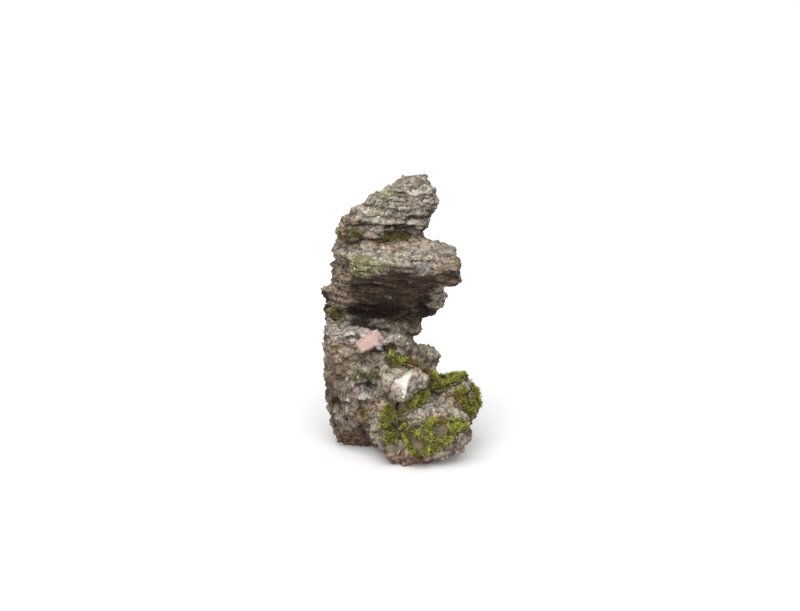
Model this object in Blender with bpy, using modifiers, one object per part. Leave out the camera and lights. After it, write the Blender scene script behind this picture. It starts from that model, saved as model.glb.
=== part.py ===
"""A weathered bonsai rock with cushions of moss, standing on its own flat feet.

Run it with blender --background --python part.py, or from Blender's text editor.
The rock is 0.25 m tall. The origin is on the ground under its middle, +Z is up and -Y is the front.
"""

import math

import bmesh
import bpy
import numpy as np
from mathutils import Matrix, Vector

MM = 0.001

# How finely the rock is worked, in mm
FUSE_VOXEL = 2.2
SKIN_VOXEL = 1.9
ROCK_TRIANGLES = 6600

# Each mass of the rock is the convex hull of a few outlines, one for each depth y: {y: [(x, z), ...]}, in mm.
UPPER_MASSES = {
    "crown cap": {
        -9: [(-16, 236), (2, 247), (18, 248), (26, 242), (32, 229), (27, 221), (16, 218), (-10, 218), (-22, 223)],
        8: [(-46, 217), (-37, 221), (-28, 228), (-18, 238), (-6, 244), (2, 250), (22, 251), (29, 246), (35, 232),
            (38, 226), (33, 218), (-30, 214)],
        32: [(-36, 214), (-18, 231), (-2, 242), (16, 243), (27, 234), (29, 214), (-30, 208)],
        46: [(-12, 220), (4, 229), (16, 227), (20, 214), (-14, 212)],
    },
    "crown ledge": {
        -6: [(-15, 213), (16, 214), (27, 213), (26, 208), (12, 206), (-12, 207)],
        20: [(-20, 216), (28, 216), (26, 204), (-18, 204)],
    },
    "crown waist": {
        4: [(-40, 212), (24, 212), (24, 207), (18, 200), (15, 186), (-40, 186)],
        24: [(-36, 214), (26, 216), (22, 200), (17, 184), (-36, 184)],
        44: [(-28, 212), (14, 212), (17, 184), (-32, 184)],
    },
    "crown shoulder": {
        -7: [(-56, 192), (-49, 208), (-30, 215), (-14, 206), (-16, 187), (-58, 187)],
        10: [(-63, 188), (-60, 200), (-52, 216), (-44, 222), (-24, 225), (-12, 214), (-14, 184), (-63, 184)],
        40: [(-50, 192), (-42, 206), (-24, 212), (-14, 208), (-14, 182), (-54, 182)],
    },
    "shelf slab, left": {
        -34: [(-40, 175), (-34, 174), (-21, 180), (-1, 181), (6, 179), (6, 171), (-30, 168)],
        -20: [(-50, 181), (-20, 185), (8, 185), (8, 158), (-47, 160)],
        2: [(-59, 190), (-40, 192), (10, 192), (10, 152), (-59, 152)],
        46: [(-52, 188), (10, 188), (10, 152), (-52, 150)],
    },
    "shelf slab, right": {
        -34: [(0, 179), (12, 178), (22, 180), (34, 184), (48, 186), (50, 179), (45, 171), (10, 169)],
        -20: [(0, 184), (48, 187), (53, 177), (54, 163), (48, 156), (20, 156), (0, 157)],
        2: [(0, 191), (20, 191), (32, 189), (48, 187), (52, 178), (55, 161), (50, 152), (36, 150), (0, 150)],
        14: [(0, 191), (22, 191), (42, 186), (44, 154), (0, 150)],
        46: [(0, 186), (24, 184), (26, 158), (0, 152)],
    },
    "shelf wedge": {
        -20: [(-47, 174), (10, 172), (22, 168), (8, 160), (-44, 158)],
        -4: [(-60, 180), (24, 170), (30, 152), (6, 140), (-44, 138), (-58, 142)],
        10: [(-63, 182), (24, 160), (22, 142), (-4, 118), (-42, 116), (-62, 120)],
        30: [(-60, 180), (22, 160), (20, 130), (-6, 106), (-50, 104)],
    },
    "back wall": {
        28: [(-62, 168), (-60, 100), (14, 90), (18, 104), (22, 120), (22, 170)],
        50: [(-54, 172), (-58, 130), (-50, 92), (8, 90), (12, 130), (6, 168)],
        57: [(-36, 150), (-40, 112), (-14, 108), (-10, 140)],
    },
    "back brow": {
        36: [(-56, 186), (-50, 158), (14, 150), (26, 164), (22, 188)],
        54: [(-48, 180), (-44, 162), (-4, 154), (12, 166), (8, 182)],
        61: [(-34, 174), (-26, 162), (-6, 164), (-8, 176)],
    },
    "left nub": {
        8: [(-69, 143), (-60, 146), (-60, 118), (-68, 120)],
        20: [(-72, 146), (-60, 150), (-58, 112), (-69, 113), (-72, 134)],
        36: [(-66, 140), (-56, 142), (-56, 116), (-66, 120)],
    },
    "right nub": {
        14: [(22, 148), (36, 148), (38, 126), (24, 116)],
        28: [(20, 154), (38, 150), (42, 135), (41, 124), (36, 116), (20, 112)],
        44: [(16, 148), (30, 142), (32, 124), (16, 112)],
    },
}
LOWER_MASSES = {
    "left block head": {
        -32: [(-62, 108), (-44, 115), (-14, 108), (0, 105), (4, 95), (-12, 80), (-34, 72), (-58, 76)],
        -20: [(-68, 112), (-44, 119), (-12, 113), (6, 108), (10, 98), (5, 88), (-30, 62), (-66, 66)],
        6: [(-71, 116), (-44, 119), (-12, 112), (7, 103), (9, 86), (4, 60), (-70, 56)],
        40: [(-62, 112), (0, 106), (2, 60), (-64, 56)],
    },
    "left block leg": {
        -31: [(-50, 72), (-34, 72), (-34, 46), (-38, 26), (-45, 26), (-50, 50)],
        -12: [(-69, 74), (-26, 72), (-27, 40), (-34, 10), (-58, 12), (-67, 45)],
        2: [(-70, 72), (-10, 70), (-12, 20), (-24, -5), (-54, -5), (-64, 17), (-69, 45)],
        36: [(-64, 70), (-4, 70), (-4, -5), (-50, -5), (-60, 20)],
    },
    "front rib": {
        -42: [(-27, 62), (-20, 62), (-18, 24), (-23, 18), (-28, 30)],
        -28: [(-31, 70), (-12, 76), (-8, 10), (-24, 8), (-31, 22)],
        -10: [(-30, 76), (-8, 76), (-8, 4), (-26, 4)],
    },
    "front boulder": {
        -53: [(-15, 78), (-8, 80), (4, 81), (8, 72), (-2, 58), (-12, 62)],
        -44: [(-19, 84), (-10, 88), (7, 86), (16, 86), (25, 81), (24, 70), (10, 60), (-4, 52), (-17, 62)],
        -22: [(-16, 87), (6, 89), (20, 87), (28, 77), (22, 58), (-12, 56)],
    },
    "front toe": {
        -60: [(-14, 44), (-6, 44), (-5, 18), (-3, 9), (-9, 9), (-16, 18)],
        -50: [(-22, 54), (-5, 56), (-5, 0), (8, -4), (-7, -4), (-21, 18)],
        -22: [(-20, 56), (0, 56), (12, -5), (-10, -5)],
    },
    "front block": {
        -62: [(4, 42), (10, 46), (30, 44), (50, 45), (57, 37), (56, 22), (42, 12), (22, 9), (13, 6), (5, 6)],
        -48: [(0, 49), (12, 53), (50, 52), (61, 46), (62, 38), (62, 21), (57, 8), (32, 8), (16, -3), (2, -3)],
        -22: [(-6, 52), (36, 53), (54, 45), (54, 22), (40, 12), (12, -5), (-6, -5)],
    },
    "middle": {
        -28: [(-26, 58), (28, 50), (34, 24), (10, 0), (-20, 6)],
        4: [(-30, 92), (14, 84), (34, 64), (46, 30), (42, 8), (-30, 6)],
        40: [(-30, 100), (8, 84), (30, 60), (40, 8), (-30, 4)],
    },
    "right lump": {
        -24: [(34, 54), (50, 61), (64, 52), (66, 38), (56, 26), (38, 26)],
        0: [(32, 58), (44, 65), (54, 69), (62, 66), (71, 57), (75, 43), (72, 30), (64, 20), (34, 14)],
        30: [(32, 50), (54, 56), (64, 46), (58, 24), (36, 16)],
    },
    "back lump": {
        6: [(10, 84), (24, 86), (32, 80), (32, 70), (24, 60), (8, 60)],
        22: [(8, 90), (18, 91), (28, 90), (34, 84), (35, 76), (28, 62), (6, 60)],
        42: [(8, 84), (26, 84), (30, 70), (24, 56), (6, 56)],
    },
    "back foot": {
        2: [(12, 40), (46, 36), (44, 10), (36, -5), (16, -5)],
        36: [(8, 44), (46, 36), (44, -5), (12, -5)],
    },
    "back buttress": {
        34: [(-60, 104), (-12, 100), (-8, 50), (-14, -5), (-48, -5), (-60, 30)],
        54: [(-52, 96), (-22, 90), (-18, 50), (-22, -5), (-44, -5), (-54, 40)],
        64: [(-46, 66), (-28, 72), (-26, 40), (-42, 30)],
    },
    "back knob": {
        34: [(-22, 96), (12, 92), (20, 60), (14, 20), (-18, 14)],
        50: [(-14, 88), (6, 84), (14, 56), (4, 26), (-12, 28)],
        57: [(-6, 70), (4, 70), (4, 48), (-4, 44)],
    },
}

# Hollows cut into the masses, drawn in the same way
HOLLOWS = {
    "crown crack, left": {
        -16: [(-18, 206), (-4, 206), (12, 207), (12, 202), (-4, 200), (-16, 201)],
        16: [(-14, 204), (8, 205), (8, 203), (-12, 203)],
    },
    "crown crack, right": {
        -16: [(2, 218), (16, 218), (36, 219), (36, 214), (16, 214), (4, 214)],
        14: [(6, 217), (26, 217), (26, 215), (8, 215)],
    },
    "slot under the pink clast": {
        -40: [(-36, 99), (-12, 102), (-10, 95), (-34, 91)],
        -22: [(-32, 97), (-14, 99), (-14, 96), (-30, 94)],
    },
    "recess in the left block": {
        -40: [(-45, 69), (-20, 69), (-18, 59), (-44, 60)],
        -20: [(-40, 66), (-24, 66), (-24, 62), (-38, 63)],
    },
    "pit in the left face": {
        -34: [(-64, 54), (-50, 54), (-50, 36), (-62, 36)],
        -8: [(-60, 48), (-56, 48), (-56, 40), (-60, 40)],
    },
    "hole beside the head": {
        -42: [(-14, 107), (-3, 107), (-3, 98), (-13, 97)],
        -22: [(-11, 104), (-6, 104), (-6, 100), (-11, 100)],
    },
    "groove of the front block": {
        -70: [(-5, 50), (3, 52), (3, 20), (-4, 20)],
        -46: [(-2, 46), (0, 46), (0, 26), (-2, 26)],
    },
    "crack down the back": {
        46: [(-20, 96), (-16, 96), (-13, 20), (-18, 20)],
        70: [(-26, 110), (-12, 110), (-8, 4), (-26, 4)],
    },
    "notch on the right": {
        -30: [(26, 62), (34, 62), (34, 50), (28, 52)],
        -10: [(28, 60), (32, 60), (32, 54), (28, 54)],
    },
}

# Clasts that stand out of the lower rock with flat broken faces
CLASTS = {
    "pink clast": {
        -35.5: [(-38, 106), (-31, 112), (-23, 114), (-19, 110), (-26, 104), (-34, 100)],
        -24: [(-41, 109), (-31, 118), (-20, 119), (-14, 111), (-24, 101), (-36, 97)],
    },
    "grey clast": {
        -35: [(-22, 106), (-17, 107), (-16, 103), (-20, 101)],
        -24: [(-24, 108), (-13, 108), (-13, 99), (-23, 99)],
    },
    "white crystal": {
        -55.5: [(-2, 77), (6, 80), (5, 71)],
        -46: [(-7, 79), (9, 84), (3, 63)],
    },
    "quartz pebble": {
        -35: [(-38, 58), (-33, 61), (-31, 57), (-35, 54)],
        -24: [(-41, 60), (-34, 65), (-27, 60), (-30, 51), (-38, 51)],
    },
    "quartz knob": {
        -22: [(53, 63), (58, 64), (60, 60), (54, 59)],
        -6: [(51, 66), (59, 68), (64, 60), (52, 56)],
    },
}

# Where moss grows, as balls (x, y, z, radius) in mm whose inside is mossy. The moss is as high as the tips of its shoots.
MOSS = {
    "moss_crown_left": [(-52, -8, 199, 5), (-45, -7, 198, 6), (-39, -7, 198, 5)],
    "moss_crown_right": [(-16, -2, 196, 5), (-10, 5, 195, 6), (-3, 6, 195, 6), (2, 6, 194, 4)],
    "moss_nub": [(-64, 9, 123, 5), (-59, 8, 123, 5)],
    "moss_band": [(10, -20, 96, 5), (-8, -30, 95, 5), (-3, -32, 90, 6), (4, -30, 87, 6), (11, -30, 86, 5)],
    "moss_saddle": [(22, -40, 81, 5), (27, -32, 76, 6), (29, -20, 66, 7), (30, -8, 63, 7), (37, -2, 62, 7),
                    (44, 0, 62, 7), (50, -4, 66, 6), (56, -2, 66, 5), (35, -12, 59, 6), (41, -10, 60, 6),
                    (47, -10, 63, 5)],
    "moss_lump": [(54, -23, 58, 6), (56, -23, 52, 6), (56, -25, 46, 6), (61, -22, 42, 6), (66, -15, 47, 7),
                  (66, -9, 53, 6), (69, -10, 43, 5)],
    "moss_crease": [(20, -32, 61, 5), (15, -34, 60, 6), (10, -44, 59, 6), (5, -44, 55, 6), (10, -47, 53, 6),
                    (17, -40, 53, 5), (3, -48, 50, 5)],
    "moss_block": [(5, -60, 36, 6), (9, -61, 29, 7), (11, -62, 21, 6), (16, -63, 15, 6), (15, -62, 32, 6),
                   (22, -62, 28, 8), (23, -63, 38, 6), (29, -62, 42, 6), (32, -63, 36, 7), (38, -62, 39, 7),
                   (40, -63, 31, 6), (32, -62, 27, 7), (46, -61, 41, 6), (27, -60, 20, 6), (20, -61, 20, 6),
                   (53, -59, 41, 5), (58, -54, 37, 4)],
    "moss_toe": [(-11, -53, 52, 5), (-13, -58, 45, 5), (-9, -58, 46, 5), (-14, -58, 37, 5), (-11, -60, 33, 5),
                 (-9, -60, 27, 5), (-13, -60, 27, 5)],
    "moss_leg": [(-36, -31, 40, 5), (-31, -33, 40, 5), (-33, -32, 36, 5)],
}
MOSS_HEIGHT = 3.6
MOSS_GAP = 0.9
PELT_VOXEL = 2.4
PELT_TRIANGLES = 6500
BARE_VOXEL = 1.4
BARE_TRIANGLES = 9500

ROCK_COLOUR = (0.24, 0.2, 0.165)
MOSS_COLOUR = (0.13, 0.17, 0.02)

BEDDING_TILT = 5
BEDDED_FROM = 104
BEDDED_FADE = 14


def hull_of(outlines):
    """The convex hull of outlines drawn at several depths, as a mesh in metres."""
    bm = bmesh.new()
    for depth, outline in outlines.items():
        for x, z in outline:
            bm.verts.new((x * MM, depth * MM, z * MM))
    made = bmesh.ops.convex_hull(bm, input=bm.verts)
    spare = {v for v in made["geom_interior"] + made["geom_unused"] if isinstance(v, bmesh.types.BMVert)}
    bmesh.ops.delete(bm, geom=list(spare), context="VERTS")
    bmesh.ops.recalc_face_normals(bm, faces=bm.faces)
    mesh = bpy.data.meshes.new("mass")
    bm.to_mesh(mesh)
    bm.free()
    return mesh


def joined(meshes, name):
    bm = bmesh.new()
    for mesh in meshes:
        bm.from_mesh(mesh)
    whole = bpy.data.meshes.new(name)
    bm.to_mesh(whole)
    bm.free()
    return whole


def new_collection(name):
    made = bpy.data.collections.new(name)
    bpy.context.scene.collection.children.link(made)
    return made


def link(name, mesh, collection, tool=False):
    """Puts a mesh in the scene as an object. A tool only shapes other pieces, so no render shows it."""
    made = bpy.data.objects.new(name, mesh)
    collection.objects.link(made)
    made.hide_render = tool
    if tool:
        made.display_type = "WIRE"
    return made


def fix(obj):
    """Applies the modifiers of an object."""
    graph = bpy.context.evaluated_depsgraph_get()
    mesh = bpy.data.meshes.new_from_object(obj.evaluated_get(graph), depsgraph=graph)
    obj.modifiers.clear()
    obj.data = mesh


def combine(obj, other, operation):
    step = obj.modifiers.new(operation.lower(), "BOOLEAN")
    step.operation = operation
    step.object = other


def voxel_remesh(obj, voxel):
    fuse = obj.modifiers.new("fuse", "REMESH")
    fuse.mode = "VOXEL"
    fuse.voxel_size = voxel * MM


def thin_to(obj, triangles):
    """Leaves about so many triangles of a mesh of quads."""
    thin = obj.modifiers.new("thin", "DECIMATE")
    thin.ratio = triangles / (2 * len(obj.data.polygons))


def noise_texture(name, scale, basis="BLENDER_ORIGINAL", hard=False, depth=2):
    texture = bpy.data.textures.new(name, "CLOUDS")
    texture.noise_scale = scale * MM
    texture.noise_basis = basis
    texture.noise_type = "HARD_NOISE" if hard else "SOFT_NOISE"
    texture.noise_depth = depth
    return texture


def push(obj, texture, strength, group="", guide=None, middle=0.5):
    """Moves the surface in and out along its normals by a texture, strength mm from its lowest to its highest."""
    step = obj.modifiers.new(texture.name, "DISPLACE")
    step.texture = texture
    step.strength = strength * MM
    step.mid_level = middle
    step.vertex_group = group
    if guide:
        step.texture_coords = "OBJECT"
        step.texture_coords_object = guide


def bedding_guide(collection):
    """An empty squashed along the normal of the beds, so that a texture read through it comes in layers."""
    guide = bpy.data.objects.new("bedding", None)
    collection.objects.link(guide)
    guide.rotation_euler = (0, math.radians(BEDDING_TILT), math.radians(25))
    guide.scale = (1.3, 1, 0.2)
    return guide


def group_vertices(obj):
    """Vertex groups: bedded for the steep faces of the layered upper rock, rubbly for the lower rock's clasts."""
    count = len(obj.data.vertices)
    place = np.empty(count * 3)
    normal = np.empty(count * 3)
    obj.data.vertices.foreach_get("co", place)
    obj.data.vertices.foreach_get("normal", normal)
    upper = np.clip((place[2::3] / MM - BEDDED_FROM) / BEDDED_FADE, 0, 1)
    steep = np.clip(1.3 - 1.3 * normal[2::3] ** 2, 0.1, 1)
    for name, weights in (("bedded", upper * steep), ("rubbly", 1 - upper)):
        group = obj.vertex_groups.new(name=name)
        for index, weight in enumerate(weights.tolist()):
            group.add([index], weight, "REPLACE")


def grown_copy(obj, name, distance, voxel, triangles, tools):
    """A tool: a copy of an object that is so many mm larger all over, clean enough to cut with."""
    made = link(name, obj.data.copy(), tools, tool=True)
    step = made.modifiers.new("offset", "DISPLACE")
    step.strength = distance * MM
    step.mid_level = 0
    voxel_remesh(made, voxel)
    fix(made)
    thin_to(made, triangles)
    fix(made)
    return made


def shape_rock(shown, tools):
    """The rock before it is thinned: masses less hollows, roughened."""
    masses = [hull_of(outlines) for part in (UPPER_MASSES, LOWER_MASSES) for outlines in part.values()]
    rock = link("rock", joined(masses, "rock"), shown)
    voxel_remesh(rock, FUSE_VOXEL)
    hollows = [hull_of(outlines) for outlines in HOLLOWS.values()]
    combine(rock, link("hollows", joined(hollows, "hollows"), tools, tool=True), "DIFFERENCE")
    fix(rock)
    voxel_remesh(rock, SKIN_VOXEL)
    fix(rock)
    group_vertices(rock)
    guide = bedding_guide(tools)
    push(rock, noise_texture("swell", 30), 4)
    push(rock, noise_texture("plates", 26, basis="CELL_NOISE", depth=0), 4.5, "bedded", guide, 0.55)
    push(rock, noise_texture("beds", 30, hard=True, depth=3), 6, "bedded", guide)
    push(rock, noise_texture("clasts", 14, basis="VORONOI_F1", depth=1), -7, "rubbly", middle=0.45)
    push(rock, noise_texture("grain", 8), 3.5)
    voxel_remesh(rock, SKIN_VOXEL)
    fix(rock)
    rock.vertex_groups.clear()
    return rock


def finish_rock(rock, tools):
    """Thins the rock, cuts its feet flat and sets the clasts in it."""
    thin_to(rock, ROCK_TRIANGLES)
    fix(rock)
    below = bmesh.new()
    bmesh.ops.create_cube(below, size=0.4, matrix=Matrix.Translation((0, 0, -0.2)))
    ground = bpy.data.meshes.new("ground")
    below.to_mesh(ground)
    below.free()
    combine(rock, link("ground", ground, tools, tool=True), "DIFFERENCE")
    for name, outlines in CLASTS.items():
        combine(rock, link(name, hull_of(outlines), tools, tool=True), "UNION")
    fix(rock)


def keep_largest(mesh):
    """Removes all but the largest of a mesh's separate pieces."""
    bm = bmesh.new()
    bm.from_mesh(mesh)
    left = set(bm.verts)
    pieces = []
    while left:
        piece = {left.pop()}
        edge = set(piece)
        while edge:
            edge = {e.other_vert(v) for v in edge for e in v.link_edges} & left
            piece |= edge
            left -= edge
        pieces.append(piece)
    pieces.sort(key=len)
    bmesh.ops.delete(bm, geom=[v for piece in pieces[:-1] for v in piece], context="VERTS")
    bm.to_mesh(mesh)
    bm.free()


def grow_moss(name, balls, pelt, bare, shown):
    """A cushion of moss: the pelt round the rock inside the balls, less the rock and a gap."""
    bm = bmesh.new()
    for x, y, z, radius in balls:
        bmesh.ops.create_icosphere(bm, subdivisions=2, radius=radius * MM, matrix=Matrix.Translation(Vector((x, y, z)) * MM))
    mesh = bpy.data.meshes.new(name)
    bm.to_mesh(mesh)
    bm.free()
    moss = link(name, mesh, shown)
    voxel_remesh(moss, PELT_VOXEL)
    fix(moss)
    thin_to(moss, len(moss.data.polygons) // 3)
    combine(moss, pelt, "INTERSECT")
    combine(moss, bare, "DIFFERENCE")
    fix(moss)
    keep_largest(moss.data)
    return moss


def paint(obj, colour, roughness):
    material = bpy.data.materials.new(obj.name)
    material.use_nodes = True
    shader = material.node_tree.nodes["Principled BSDF"]
    shader.inputs["Base Color"].default_value = (*colour, 1)
    shader.inputs["Roughness"].default_value = roughness
    obj.data.materials.clear()
    obj.data.materials.append(material)


def main():
    for old in list(bpy.data.objects):
        bpy.data.objects.remove(old)
    shown = new_collection("ibigawa rock")
    tools = new_collection("shaping tools")
    rock = shape_rock(shown, tools)
    pelt = grown_copy(rock, "pelt", MOSS_HEIGHT, PELT_VOXEL, PELT_TRIANGLES, tools)
    finish_rock(rock, tools)
    paint(rock, ROCK_COLOUR, 0.9)
    bare = grown_copy(rock, "bare", MOSS_GAP, BARE_VOXEL, BARE_TRIANGLES, tools)
    for name, balls in MOSS.items():
        moss = grow_moss(name, balls, pelt, bare, shown)
        paint(moss, MOSS_COLOUR, 0.95)


main()
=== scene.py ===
import math

import bmesh
import bpy
import numpy as np
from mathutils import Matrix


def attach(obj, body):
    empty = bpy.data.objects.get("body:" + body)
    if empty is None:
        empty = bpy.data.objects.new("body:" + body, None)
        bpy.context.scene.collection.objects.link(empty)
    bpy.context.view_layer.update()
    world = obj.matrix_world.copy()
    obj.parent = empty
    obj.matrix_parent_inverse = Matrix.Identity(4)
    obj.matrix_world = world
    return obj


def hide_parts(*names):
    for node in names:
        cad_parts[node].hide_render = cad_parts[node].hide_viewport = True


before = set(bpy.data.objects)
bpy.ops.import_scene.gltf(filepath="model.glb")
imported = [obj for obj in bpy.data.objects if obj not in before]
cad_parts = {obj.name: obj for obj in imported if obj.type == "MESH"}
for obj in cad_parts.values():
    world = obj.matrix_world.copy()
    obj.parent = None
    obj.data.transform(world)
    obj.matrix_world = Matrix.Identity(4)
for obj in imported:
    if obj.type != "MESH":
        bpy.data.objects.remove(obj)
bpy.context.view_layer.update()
mm = 0.001
up = np.array([0.0, 0.0, 1.0])
tintLayer = "tint"


# a colour given as 0 to 255 becomes linear light: (value / 255) to the power 2.2
def linear(colour):
    return np.power(np.array(colour, float) / 255.0, 2.2)


# an eased step: 0 below low, 1 above high, 3t^2 - 2t^3 between them
def ease(low, high, value):
    part = np.clip((value - low) / (high - low), 0.0, 1.0)
    return part * part * (3.0 - 2.0 * part)


# moves from one colour to another by a share for each row
def mixed(first, second, share):
    return first + (second - first) * np.asarray(share)[..., None]


# a first number, and each value times its own weight added to it
def weighed(weights, *values):
    total = weights[0]
    for weight, value in zip(weights[1:], values):
        total = total + weight * value
    return total


# each row divided by its own length
def unit(rows):
    return rows / np.maximum(np.linalg.norm(rows, axis=-1, keepdims=True), 1e-9)


# large odd numbers that stir: one for each axis, one for the seed, and one for each round
axisStir = (73856093, 19349663, 83492791)
seedStir = 2654435761
roundStir = (0x7FEB352D, 0x846CA68B)
wholeRange = 2**32


# whole numbers of a lattice cell and a seed, stirred into one number from 0 to 1
def stirred(cell, seed):
    whole = cell.astype(np.int64).astype(np.uint32)
    mix = whole[..., 0] * np.uint32(axisStir[0])
    mix = mix ^ (whole[..., 1] * np.uint32(axisStir[1]))
    mix = mix ^ (whole[..., 2] * np.uint32(axisStir[2]))
    mix = mix ^ np.uint32(seed * seedStir % wholeRange)
    mix = (mix ^ (mix >> np.uint32(16))) * np.uint32(roundStir[0])
    mix = (mix ^ (mix >> np.uint32(15))) * np.uint32(roundStir[1])
    return (mix ^ (mix >> np.uint32(16))) / float(wholeRange)


# value noise from -1 to 1: the eight corners of the cell, blended by the eased place inside it
def noise(points, size, seed):
    scaled = points / size
    corner = np.floor(scaled)
    inside = scaled - corner
    inside = inside * inside * (3.0 - 2.0 * inside)
    total = np.zeros(len(points))
    for index in range(8):
        step = np.array([index & 1, (index >> 1) & 1, (index >> 2) & 1])
        share = np.prod(np.where(step, inside, 1.0 - inside), axis=1)
        total += share * stirred(corner + step, seed)
    return total * 2.0 - 1.0


# noise summed over octaves, each half the size and half the height of the last
def roughNoise(points, size, octaves, seed):
    total = np.zeros(len(points))
    for octave in range(octaves):
        total += noise(points, size / 2**octave, seed + octave) / 2**octave
    return total


# distances to the nearest and second nearest random centre, the nearest one's number and the way from it
def cells(points, size, seed):
    scaled = points / size
    corner = np.floor(scaled)
    beyond = 9.0
    nearest = np.full(len(points), beyond)
    second = np.full(len(points), beyond)
    number = np.zeros(len(points))
    away = np.zeros_like(points)
    for index in range(27):
        step = np.array([index % 3 - 1, index // 3 % 3 - 1, index // 9 - 1])
        cell = corner + step
        jitter = [stirred(cell, seed + axis) for axis in (1, 2, 3)]
        offset = scaled - cell - np.stack(jitter, axis=1)
        distance = np.linalg.norm(offset, axis=1)
        closer = distance < nearest
        second = np.where(closer, nearest, np.minimum(second, distance))
        number = np.where(closer, stirred(cell, seed + 4), number)
        away = np.where(closer[:, None], offset, away)
        nearest = np.minimum(nearest, distance)
    return nearest, second, number, away


# the edges of patches: shares of a ball's radii, the size of their noise in mm, and mm across an outline
edges = {
    "ball": (0.8, 1.05),
    "ballNoise": 4.0,
    "outline": (-0.5, 0.5),
    "beyond": 99.0,
}


# a soft ball stretched to three radii: 1 inside, 0 outside, with an edge roughened by noise
def patch(points, centre, radii, rough, seed):
    reach = np.linalg.norm((points - np.array(centre)) / np.array(radii), axis=1)
    return 1.0 - ease(*edges["ball"], reach + rough * noise(points, edges["ballNoise"], seed))


# a flat-sided patch seen from the front: the least distance inside any edge of an outline, then eased
def outlinePatch(points, outline, behind):
    inside = np.full(len(points), edges["beyond"])
    for (x0, z0), (x1, z1) in zip(outline, outline[1:] + outline[:1]):
        away = (points[:, 0] - x0) * (z1 - z0) - (points[:, 2] - z0) * (x1 - x0)
        inside = np.minimum(inside, away / math.hypot(x1 - x0, z1 - z0))
    return ease(*edges["outline"], inside) * (points[:, 1] < behind)


# how near points lie: a grid of cells, 1 where a cell holds a point, each averaged twice along each axis
# with the two cells beside it
class Nearness:
    margin = 8

    def __init__(self, points, cell):
        self.cell = cell
        self.low = points.min(axis=0) - self.margin * cell
        high = points.max(axis=0) + self.margin * cell
        self.shape = np.ceil((high - self.low) / cell).astype(int)
        index = ((points - self.low) / cell).astype(int)
        flat = np.ravel_multi_index(index.T, self.shape)
        counted = np.bincount(flat, minlength=self.shape.prod()).reshape(self.shape)
        field = np.minimum(counted, 1).astype(float)
        for axis in (0, 1, 2) * 2:
            field = (np.roll(field, 1, axis) + field + np.roll(field, -1, axis)) / 3.0
        self.field = field

    # the grid's value at each place, and 0 outside the grid
    def at(self, points):
        index = ((points - self.low) / self.cell).astype(int)
        inside = ((index >= 0) & (index < self.shape)).all(axis=1)
        index = np.clip(index, 0, self.shape - 1)
        return np.where(inside, self.field[index[:, 0], index[:, 1], index[:, 2]], 0.0)


# a socket with arithmetic: an expression on values adds its Math nodes
class Wire:
    def __init__(self, tree, socket=None):
        self.tree = tree
        self.socket = socket

    # a new shader node: its settings, its inputs as numbers or as other values, and one of its outputs
    def node(self, kind, settings, sockets, output=0):
        made = self.tree.nodes.new("ShaderNode" + kind)
        for name, value in settings.items():
            setattr(made, name, value)
        for name, value in sockets.items():
            if isinstance(value, Wire):
                self.tree.links.new(value.socket, made.inputs[name])
            else:
                made.inputs[name].default_value = value
        return Wire(self.tree, made.outputs[output])

    # one step of arithmetic on two values
    def math(self, operation, first, second):
        return self.node("Math", {"operation": operation}, {0: first, 1: second})

    def __add__(self, other):
        return self.math("ADD", self, other)

    def __sub__(self, other):
        return self.math("SUBTRACT", self, other)

    def __rsub__(self, other):
        return self.math("SUBTRACT", other, self)

    def __mul__(self, other):
        return self.math("MULTIPLY", self, other)

    def __gt__(self, other):
        return self.math("GREATER_THAN", self, other)

    def __lt__(self, other):
        return self.math("LESS_THAN", self, other)

    __radd__ = __add__
    __rmul__ = __mul__

    # a colour moved by a share towards the two colours joined in the way named
    def blend(self, share, first, second, how):
        settings = {"data_type": "RGBA", "blend_type": how}
        return self.node("Mix", settings, {0: share, 6: first, 7: second}, output=2)


# a new material with its Wire and its shader
def startMaterial(name):
    material = bpy.data.materials.new(name)
    material.use_nodes = True
    tree = material.node_tree
    return material, Wire(tree), tree.nodes["Principled BSDF"]


# the points and the outward directions of a mesh's vertices, in mm
def pointsOf(mesh):
    points = np.empty(len(mesh.vertices) * 3, np.float32)
    normals = np.empty(len(mesh.vertices) * 3, np.float32)
    mesh.vertices.foreach_get("co", points)
    mesh.vertices.foreach_get("normal", normals)
    return points.reshape(-1, 3).astype(float) / mm, normals.reshape(-1, 3).astype(float)


# the corner numbers of a mesh's triangles, one row for each
def trianglesOf(mesh):
    mesh.calc_loop_triangles()
    rows = np.empty(len(mesh.loop_triangles) * 3, np.int32)
    mesh.loop_triangles.foreach_get("vertices", rows)
    return rows.reshape(-1, 3)


# a colour for each vertex, and in its fourth number how crumbly the surface is there, from 0 to 1
def paint(mesh, colours, crumbly=1.0):
    layer = mesh.color_attributes.new(tintLayer, "FLOAT_COLOR", "POINT")
    whole = np.ones((len(colours), 4), np.float32)
    whole[:, :3] = colours
    whole[:, 3] = crumbly
    layer.data.foreach_set("color", whole.ravel())


# a CAD node's triangles as a new mesh of its own, with points closer than a thousandth of a mm merged
def mergedMesh(node):
    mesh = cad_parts[node].data.copy()
    mesh.materials.clear()
    work = bmesh.new()
    work.from_mesh(mesh)
    bmesh.ops.remove_doubles(work, verts=work.verts, dist=1e-6)
    work.to_mesh(mesh)
    work.free()
    return mesh


# an object with this mesh, at the origin
def place(name, mesh):
    piece = bpy.data.objects.new(name, mesh)
    bpy.context.scene.collection.objects.link(piece)
    return piece


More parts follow.
